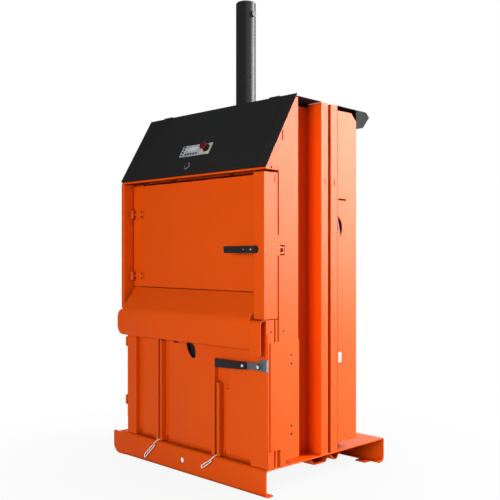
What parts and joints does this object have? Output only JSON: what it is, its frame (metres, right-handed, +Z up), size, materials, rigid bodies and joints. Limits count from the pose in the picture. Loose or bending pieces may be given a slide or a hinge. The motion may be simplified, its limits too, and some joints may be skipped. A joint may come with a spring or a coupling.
{
  "type": "recycling baler",
  "caption": "Upright baler for card and film: bale chamber with side-hung doors and latches, vertical ram and platen, sloping service hood and flanged steel base.",
  "frame": {"origin": "centre of the bounding box on the floor", "axes": "+Z up, -Y towards the operator at the doors, +X towards the operator's right, the latch side"},
  "size_m": [1.105, 0.871, 2.29],
  "materials": {
    "orange_paint": "satin powder coat",
    "black_paint": "fine-textured powder coat",
    "ram_paint": "semi-gloss paint",
    "zinc": "zinc-plated",
    "chrome_rod": "hard chrome",
    "raw_steel": "mill finish",
    "black_plastic": "matt",
    "nylon": "natural",
    "panel_grey": "satin membrane",
    "stop_red": "gloss",
    "dark_bolt": "black zinc",
    "latch_steel": "blue-grey phosphate",
    "strap_white": "woven polyester",
    "unit_grey": "gloss enamel",
    "label": "bare foil"
  },
  "bodies": {
    "frame": {"base_frame": "orange_paint", "base_ribs": "orange_paint", "floor_tray": "orange_paint", "chamber_shell": "orange_paint", "post_right": "orange_paint", "post_left": "orange_paint", "lower_side_plate_right": "orange_paint", "lower_side_plate_left": "orange_paint", "side_panel_front_right": "orange_paint", "side_panel_front_left": "orange_paint", "column_right": "orange_paint", "column_left": "orange_paint", "side_panel_rear_right": "orange_paint", "side_panel_rear_left": "orange_paint", "rear_cover": "orange_paint", "roof": "black_paint", "hood_frame": "black_paint", "hatch_hinges": "black_paint", "header_beam": "orange_paint", "left_cheek": "orange_paint", "upper_hinges_fixed": "orange_paint", "lower_hinges_fixed": "orange_paint", "cross_beam": "orange_paint", "ram_flange": "raw_steel", "ram_tube": "ram_paint", "ram_gland": "raw_steel", "service_shelf": "orange_paint", "oil_tank": "unit_grey", "pump_motor": "unit_grey", "valve_block": "unit_grey", "control_box": "unit_grey", "spool_pins": "zinc", "door_catch": "zinc", "type_plate": "label", "frame_bolts": "dark_bolt", "pressure_pipe": "zinc", "strap_tail_left": "strap_white", "strap_tail_right": "strap_white", "strap_strand": "strap_white"},
    "upper_door": {"upper_door": "orange_paint", "upper_hinge_leaves": "orange_paint", "upper_door_bolts": "dark_bolt"},
    "upper_handle": {"upper_handle": "black_plastic"},
    "bale_door": {"lower_door": "orange_paint", "lower_hinge_leaves": "orange_paint", "hand_liner": "black_plastic", "latch_plate": "latch_steel"},
    "bale_latch": {"latch_bar": "latch_steel", "latch_grip": "black_plastic", "latch_bolt": "zinc"},
    "platen": {"platen": "orange_paint", "platen_shoes": "nylon", "piston_rod": "chrome_rod"},
    "hood_hatch": {"hood_hatch": "black_paint", "control_panel": "panel_grey", "estop_collar": "black_plastic"},
    "stop_button": {"estop_button": "stop_red"},
    "hatch_lock": {"hatch_lock": "zinc"},
    "strap_spool_right": {"strap_spool_right": "strap_white"},
    "strap_spool_left": {"strap_spool_left": "strap_white"}
  },
  "joints": [
    {"name": "upper_door_hinge", "type": "hinge", "parent": "frame", "child": "upper_door", "pos_m": [-0.447, -0.3625, 1.074], "axis": [0, 0, -1], "range_deg": [0, 120]},
    {"name": "upper_handle_turn", "type": "hinge", "parent": "upper_door", "child": "upper_handle", "pos_m": [0.501, -0.4245, 1.047], "axis": [0, -1, 0], "range_deg": [0, 90]},
    {"name": "bale_door_hinge", "type": "hinge", "parent": "frame", "child": "bale_door", "pos_m": [-0.453, -0.3925, 0.433], "axis": [0, 0, -1], "range_deg": [0, 92]},
    {"name": "bale_latch_turn", "type": "hinge", "parent": "bale_door", "child": "bale_latch", "pos_m": [0.513, -0.4045, 0.55], "axis": [0, -1, 0], "range_deg": [0, 90]},
    {"name": "ram_stroke", "type": "slide", "parent": "frame", "child": "platen", "axis": [0, 0, -1], "range_m": [0, 0.64]},
    {"name": "hood_hatch_hinge", "type": "hinge", "parent": "frame", "child": "hood_hatch", "pos_m": [0.031, -0.2015, 1.733], "axis": [-1, 0, 0], "range_deg": [0, 75]},
    {"name": "stop_button_press", "type": "slide", "parent": "hood_hatch", "child": "stop_button", "axis": [0, 0.8623, -0.5065], "range_m": [0, 0.005]},
    {"name": "hatch_lock_turn", "type": "hinge", "parent": "hood_hatch", "child": "hatch_lock", "pos_m": [0.009, -0.37918, 1.44311], "axis": [0, -0.8623, 0.5065], "range_deg": [0, 90]},
    {"name": "spool_right_spin", "type": "hinge", "parent": "frame", "child": "strap_spool_right", "pos_m": [0.507, 0.1405, 0.684], "axis": [1, 0, 0], "continuous": true},
    {"name": "spool_left_spin", "type": "hinge", "parent": "frame", "child": "strap_spool_left", "pos_m": [-0.445, 0.1405, 0.684], "axis": [1, 0, 0], "continuous": true}
  ]
}
